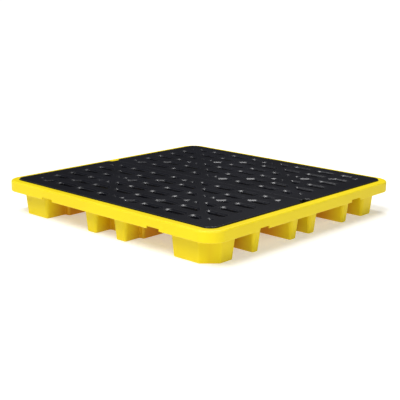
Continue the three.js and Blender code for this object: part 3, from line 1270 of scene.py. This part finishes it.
@dataclass
class SlotPattern:
    """Slots in rows, interrupted by an X of solid bands over each quarter of the deck.

    Attributes:
        columns: Columns over both quarters.
        rows: Rows in a panel.
        pitch_x: Column pitch.
        pitch_y: Row pitch.
        centre_y: Middle row line of the rear panel.
        length: Slot length at the bore.
        width: Slot width at the bore.
        band: Width of the diagonal bands between slot bores.
        tip_radius: Plan radius of the sharp tips beside a band.
        cut_radius: Plan radius of a blunt corner beside a band.
        end_radius: Plan radius where a clipped slot's side meets a band.
        lip: Width of the dished lip round the top of each slot.
        lip_drop: Depth of that lip at the bore.
        lip_root: Radius where the lip meets the bore.
        lip_crest: Radius where the lip meets the walking surface.
    """

    columns: int = 8
    rows: int = 6
    pitch_x: float = 0.137
    pitch_y: float = 0.0912
    centre_y: float = 0.299
    length: float = 0.094
    width: float = 0.030
    band: float = 0.041
    tip_radius: float = 0.003
    cut_radius: float = 0.004
    end_radius: float = 0.006
    lip: float = 0.011
    lip_drop: float = 0.0047
    lip_root: float = 0.003
    lip_crest: float = 0.010

    def band_shift(self, column: int, row: int) -> float:
        """How far above a slot's middle the band's centre line passes, in the rear right quarter."""
        return (column + 0.5) * self.pitch_x - (row + 0.5) * self.pitch_y

    def shapes(self) -> list[PlanShape]:
        """The four bore outlines, each about the slot's middle, in the order of SlotKind.

        Returns:
            The outlines at the bore.
        """
        half_x, half_y = self.length / 2, self.width / 2
        end = half_y - LEAST_RADIUS
        reach = self.band / math.sqrt(2)
        inner = self.band_shift(0, 0)
        middle = self.band_shift(0, 1)
        whole = PlanShape.box(-half_x, -half_y, half_x, half_y, end)
        split = PlanShape(
            (
                (-half_y - inner + reach, -half_y),
                (half_x, -half_y),
                (half_x, half_y),
                (half_y - inner + reach, half_y),
            ),
            (self.tip_radius, end, end, self.cut_radius),
        )
        stub = PlanShape.even(
            ((-half_x, half_y), (-half_x, -half_x + inner + reach), (half_y - inner - reach, half_y)),
            self.tip_radius,
        )
        clipped = PlanShape(
            (
                (-half_x, -half_y),
                (-half_y - middle - reach, -half_y),
                (half_x, half_x + middle + reach),
                (half_x, half_y),
                (-half_x, half_y),
            ),
            (end, self.end_radius, self.cut_radius, self.tip_radius, end),
        )
        return [whole, split, stub, clipped]

    def kind_of(self, column: int, row: int) -> tuple[tuple[SlotKind, ...], float]:
        """The cutters of one slot of the rear right quarter, and their turn.

        Args:
            column: Column counted from the quarter's middle, 0 or 1.
            row: Row counted from the quarter's middle, 0 to 2.

        Returns:
            The kinds, and how far they are turned.
        """
        table = {
            (0, 0): ((SlotKind.SPLIT, SlotKind.STUB), 0.0),
            (0, 1): ((SlotKind.CLIPPED,), 0.0),
            (1, 1): ((SlotKind.CLIPPED,), HALF_TURN),
            (1, 2): ((SlotKind.SPLIT, SlotKind.STUB), HALF_TURN),
        }
        return table.get((column, row), ((SlotKind.WHOLE,), 0.0))

    def placings(self) -> list[Placing]:
        """Every cutter of the rear panel.

        Returns:
            The places.
        """
        half_rows = self.rows // 2
        quarter_columns = self.columns // 4
        places = []
        for side, sx, sy in product((-1, 1), (-1, 1), (-1, 1)):
            for column, row in product(range(quarter_columns), range(half_rows)):
                x = side * quarter_columns * self.pitch_x + sx * (column + 0.5) * self.pitch_x
                y = self.centre_y + sy * (row + 0.5) * self.pitch_y
                kinds, turn = self.kind_of(column, row)
                hand = 0 if sx * sy > 0 else len(SlotKind)
                turn += 0.0 if sy > 0 else HALF_TURN
                places.extend(Placing(kind.value + hand, x, y, turn) for kind in kinds)
        return places


@dataclass
class DeckPanels:
    """The two slotted panels of the deck.

    Attributes:
        half: Outer edge of the deck, from the centre.
        top: The walking surface.
        bottom: Lower edge of the skirt and ribs.
        gap: Gap between the panels.
        corner: Plan radius of the deck's corners.
        edge: Radius along the deck's top edge.
        plate: Thickness of the plate.
        skirt: Thickness of the skirt.
        skirt_root: Fillet between the skirt and the plate.
        skirt_edge: Radii along the skirt's lower edges.
        rib: Thickness of the ribs.
        rib_edge: Radius along the lower edges of the ribs and collars.
        collar: How far the collars under the slots stand out from the bore.
        collar_depth: How far they reach below the plate.
        grip_half: Half the length of a finger notch, at its mouth.
        grip_depth: Depth of a finger notch.
        grip_radii: Plan radii of a finger notch, from its root to its mouth.
        slots: The slot pattern.
    """

    half: float
    top: float
    bottom: float
    gap: float = 0.001
    corner: float = 0.041
    edge: float = 0.005
    plate: float = 0.009
    skirt: float = 0.007
    skirt_root: float = 0.003
    skirt_edge: float = 0.0015
    rib: float = 0.005
    rib_edge: float = 0.001
    collar: float = 0.004
    collar_depth: float = 0.010
    grip_half: float = 0.035
    grip_depth: float = 0.024
    grip_radii: tuple[float, float, float] = (0.004, 0.008, 0.006)
    slots: SlotPattern = field(default_factory=SlotPattern)

    def outline(self) -> PlanShape:
        """The rear panel: round outer corners, and a finger notch at each end of the joint.

        Returns:
            Its outline.
        """
        joint = self.gap / 2
        grip = self.half - self.grip_depth
        slant = self.grip_half - self.grip_depth / 2
        root, bend, mouth = self.grip_radii
        right = (
            ((grip, joint), root),
            ((grip, slant), bend),
            ((self.half, self.grip_half), mouth),
            ((self.half, self.half), self.corner),
        )
        left = tuple(((-x, y), radius) for (x, y), radius in reversed(right))
        corners, radii = zip(*(right + left))
        return PlanShape(corners, radii, steps=7)

    def blank(self, name: str) -> bpy.types.Mesh:
        """The plate with its skirt and no slots.

        Args:
            name: The mesh's name.

        Returns:
            The closed blank.
        """
        under = self.top - self.plate
        bends = [
            Bend(-self.skirt - 2 * self.skirt_root, under),
            Bend(-self.skirt, under, self.skirt_root, 3),
            Bend(-self.skirt, self.bottom, self.skirt_edge, 2),
            Bend(0.0, self.bottom, self.skirt_edge, 2),
            Bend(0.0, self.top, self.edge, 5),
            Bend(-self.edge - 2 * CAP_INSET, self.top),
        ]
        return loft(name, self.outline(), bends)

    def web(self, outset: float, foot: float) -> list[Bend]:
        """The section of a rib or a collar, from a rounded foot up into the plate.

        Args:
            outset: How far it stands out from its outline.
            foot: Height of its lower edge.

        Returns:
            The section.
        """
        roof = self.top - self.plate / 2
        cap = outset - 1.2 * self.rib_edge
        return [Bend(cap, foot), Bend(outset, foot, self.rib_edge, 2), Bend(outset, roof), Bend(cap, roof)]

    def rib_meshes(self) -> list[bpy.types.Mesh]:
        """One rib across the panel and one along it.

        Returns:
            The two ribs, in that order.
        """
        overlap = self.skirt / 2
        half_rib = self.rib / 2
        end = self.half - overlap
        across = PlanShape.box(-half_rib, self.gap / 2 + overlap, half_rib, end, self.rib_edge, steps=2)
        along = PlanShape.box(-end, -half_rib, end, half_rib, self.rib_edge, steps=2)
        bends = self.web(0.0, self.bottom)
        return [loft("rib_across", across, bends), loft("rib_along", along, bends)]

    def rib_placings(self) -> list[Placing]:
        """A rib beside every column of slots, and one between every second row.

        Returns:
            The places.
        """
        slots = self.slots
        across = [Placing(0, x=(k - slots.columns / 2) * slots.pitch_x) for k in range(slots.columns + 1)]
        along = [Placing(1, y=slots.centre_y + k * slots.pitch_y) for k in (-2, 0, 2)]
        return across + along

    def collar_meshes(self) -> list[bpy.types.Mesh]:
        """The collars that stiffen the slots from below, plain and then mirrored.

        Returns:
            One collar for each outline.
        """
        bends = self.web(self.collar, self.top - self.plate - self.collar_depth)
        return [loft(f"collar_{index}", shape, bends) for index, shape in enumerate(self.slot_outlines())]

    def slot_outlines(self) -> list[PlanShape]:
        """The outlines of the slots' bores, plain and then mirrored."""
        plain = self.slots.shapes()
        return plain + [shape.mirrored(-1, 1) for shape in plain]

    def slot_meshes(self) -> list[bpy.types.Mesh]:
        """The slot cutters, plain and then mirrored, with lips that flare out at the top.

        Returns:
            One cutter for each outline.
        """
        slots = self.slots
        crest = self.top + SKIM
        below = self.top - self.plate - self.collar_depth - RUN_OUT / 2
        rim = slots.lip + 3 * CAP_INSET
        bends = [
            Bend(-CAP_INSET, below),
            Bend(0.0, below),
            Bend(0.0, crest - slots.lip_drop, slots.lip_root, 3),
            Bend(slots.lip, crest, slots.lip_crest, 4),
            Bend(rim, crest),
            Bend(rim, crest + RUN_OUT),
        ]
        return [loft(f"slot_{index}", shape, bends) for index, shape in enumerate(self.slot_outlines())]

    def build_rear(self) -> bpy.types.Object:
        """Builds and dresses the rear panel.

        Returns:
            The finished piece.
        """
        slots = self.slots.placings()
        ribs = self.rib_meshes()
        collars = [replace(place, kind=place.kind + len(ribs)) for place in slots]
        added = Kit((*ribs, *self.collar_meshes()), (*self.rib_placings(), *collars))
        cut = Kit(tuple(self.slot_meshes()), tuple(slots))
        mesh = MouldingTree().mould(self.blank("rear_panel_blank"), added, cut, BLACK_DECK)
        return SurfaceFinisher().finish("deck_panel_rear", mesh)

    def build_front(self, rear: bpy.types.Object) -> bpy.types.Object:
        """The front panel, which is the rear one turned half a turn.

        Args:
            rear: The finished rear panel.

        Returns:
            The finished front panel.
        """
        mesh = rear.data.copy()
        mesh.name = "deck_panel_front"
        mesh.transform(Matrix.Rotation(HALF_TURN, 4, "Z"))
        made = bpy.data.objects.new("deck_panel_front", mesh)
        bpy.context.scene.collection.objects.link(made)
        return made


# ---------------------------------------------------------------------------------------------
# The studio
# ---------------------------------------------------------------------------------------------


@dataclass(frozen=True)
class SoftBox:
    """A square area light that points at a target.

    Attributes:
        name: The light's name.
        azimuth: Where it stands round the object, in degrees, as the camera's azimuth.
        elevation: How high it stands, in degrees.
        distance: How far from the target.
        size: Its side.
        watts: Its power.
    """

    name: str
    azimuth: float
    elevation: float
    distance: float
    size: float
    watts: float

    def build(self, target: Vector) -> None:
        """Adds the light.

        Args:
            target: The point that it faces.
        """
        data = bpy.data.lights.new(self.name, "AREA")
        data.shape = "SQUARE"
        data.size = self.size
        data.energy = self.watts
        lamp = bpy.data.objects.new(self.name, data)
        away = direction(self.azimuth, self.elevation)
        lamp.location = target + away * self.distance
        lamp.rotation_euler = away.to_track_quat("Z", "Y").to_euler()
        bpy.context.scene.collection.objects.link(lamp)


def direction(azimuth: float, elevation: float) -> Vector:
    """The unit vector from the object towards a viewer at that azimuth and elevation, in degrees."""
    turn, rise = math.radians(azimuth), math.radians(elevation)
    return Vector((math.sin(turn) * math.cos(rise), -math.cos(turn) * math.cos(rise), math.sin(rise)))


@dataclass
class Studio:
    """The camera, a pale floor and soft lights.

    Attributes:
        target: The point that the camera looks at.
        azimuth: The camera's azimuth, in degrees.
        elevation: Its elevation, in degrees.
        roll: Its roll, in degrees.
        distance: Its distance from the target.
        lens: Its focal length, in millimetres on a 36 mm sensor.
        floor_side: Side of the floor.
        floor_drop: How far the floor lies below the feet.
        floor_white: How much light the floor throws back.
        floor_glow: How much light it gives of its own, which keeps its shadows pale.
        sun_strength: Strength of the key light.
        sun_angle: How broad the key light is, in degrees.
        sun_from: Its azimuth and elevation, in degrees.
        world_grey: Brightness of the surround.
        boxes: The soft boxes.
    """

    target: Vector = field(default_factory=lambda: Vector((0.0809, -0.0914, 0.085)))
    azimuth: float = 42.261
    elevation: float = 13.996
    roll: float = 0.727
    distance: float = 4.107
    lens: float = 80.18
    floor_side: float = 400.0
    floor_drop: float = 0.0005
    floor_white: float = 0.80
    floor_glow: float = 0.36
    sun_strength: float = 3.05
    sun_angle: float = 40.0
    sun_from: Point = (-5.0, 60.0)
    world_grey: float = 0.035
    boxes: tuple[SoftBox, ...] = (
        SoftBox("back_box", azimuth=207.0, elevation=60.0, distance=4.6, size=1.05, watts=88.0),
        SoftBox("front_low_box", azimuth=8.0, elevation=9.0, distance=3.2, size=1.4, watts=9.0),
        SoftBox("right_box", azimuth=72.0, elevation=25.0, distance=3.0, size=1.2, watts=17.0),
    )

    def build(self) -> None:
        """Builds everything that isn't the object."""
        scene = bpy.context.scene
        scene.view_settings.view_transform = "Standard"
        self._camera()
        self._floor()
        self._sky()
        for box in self.boxes:
            box.build(self.target)
        self._sun()

    def _camera(self) -> None:
        """Adds the camera."""
        data = bpy.data.cameras.new("camera")
        data.lens = self.lens
        data.clip_end = 2 * self.floor_side
        camera = bpy.data.objects.new("camera", data)
        away = direction(self.azimuth, self.elevation)
        camera.location = self.target + away * self.distance
        look = away.to_track_quat("Z", "Y").to_matrix().to_4x4()
        camera.rotation_euler = (look @ Matrix.Rotation(math.radians(self.roll), 4, "Z")).to_euler()
        bpy.context.scene.collection.objects.link(camera)
        bpy.context.scene.camera = camera

    def _floor(self) -> None:
        """Adds the pale floor."""
        half = self.floor_side / 2
        mesh = bpy.data.meshes.new("floor")
        corners = [(-half, -half, 0), (half, -half, 0), (half, half, 0), (-half, half, 0)]
        mesh.from_pydata(corners, [], [(0, 1, 2, 3)])
        material = bpy.data.materials.new("pale_floor")
        material.use_nodes = True
        shader = material.node_tree.nodes["Principled BSDF"]
        shader.inputs["Base Color"].default_value = (self.floor_white,) * 3 + (1.0,)
        shader.inputs["Roughness"].default_value = 0.9
        shader.inputs["Specular IOR Level"].default_value = 0.0
        shader.inputs["Emission Color"].default_value = (1.0, 1.0, 1.0, 1.0)
        shader.inputs["Emission Strength"].default_value = self.floor_glow
        mesh.materials.append(material)
        floor = bpy.data.objects.new("floor", mesh)
        floor.location.z = -self.floor_drop
        bpy.context.scene.collection.objects.link(floor)

    def _sky(self) -> None:
        """Adds an even dim surround."""
        world = bpy.data.worlds.new("surround")
        world.use_nodes = True
        background = world.node_tree.nodes["Background"]
        background.inputs["Color"].default_value = (self.world_grey,) * 3 + (1.0,)
        background.inputs["Strength"].default_value = 1.0
        bpy.context.scene.world = world

    def _sun(self) -> None:
        """Adds a broad key light that reaches the whole floor."""
        data = bpy.data.lights.new("key", "SUN")
        data.energy = self.sun_strength
        data.angle = math.radians(self.sun_angle)
        lamp = bpy.data.objects.new("key", data)
        lamp.rotation_euler = direction(*self.sun_from).to_track_quat("Z", "Y").to_euler()
        bpy.context.scene.collection.objects.link(lamp)


# ---------------------------------------------------------------------------------------------
# Assembly
# ---------------------------------------------------------------------------------------------


def stand_in(piece: bpy.types.Object, body: str, node: str) -> None:
    """Hands one piece to the frame.

    Args:
        piece: The finished object.
        body: The body that it rides on.
        node: The CAD node that it stands for.
    """
    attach(piece, body)
    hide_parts(node)
    LOG.info("%s: %d faces, rides on %s", piece.name, len(piece.data.polygons), body)


def main() -> None:
    """Builds the pallet round the frame, piece by piece."""
    logging.basicConfig(level=logging.INFO, format="%(name)s: %(message)s")
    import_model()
    sump_low, sump_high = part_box("base_sump")
    panel_low, panel_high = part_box("rear_deck_panel")

    Studio().build()

    sump = SumpShell(half=sump_high[0], rim_top=sump_high[2])
    stand_in(sump.build(), "base", "base_sump")

    deck = DeckPanels(half=panel_high[0], top=panel_high[2], bottom=panel_low[2])
    rear = deck.build_rear()
    front = deck.build_front(rear)
    stand_in(rear, "rear_panel", "rear_deck_panel")
    stand_in(front, "front_panel", "front_deck_panel")


if __name__ == "__main__":
    main()
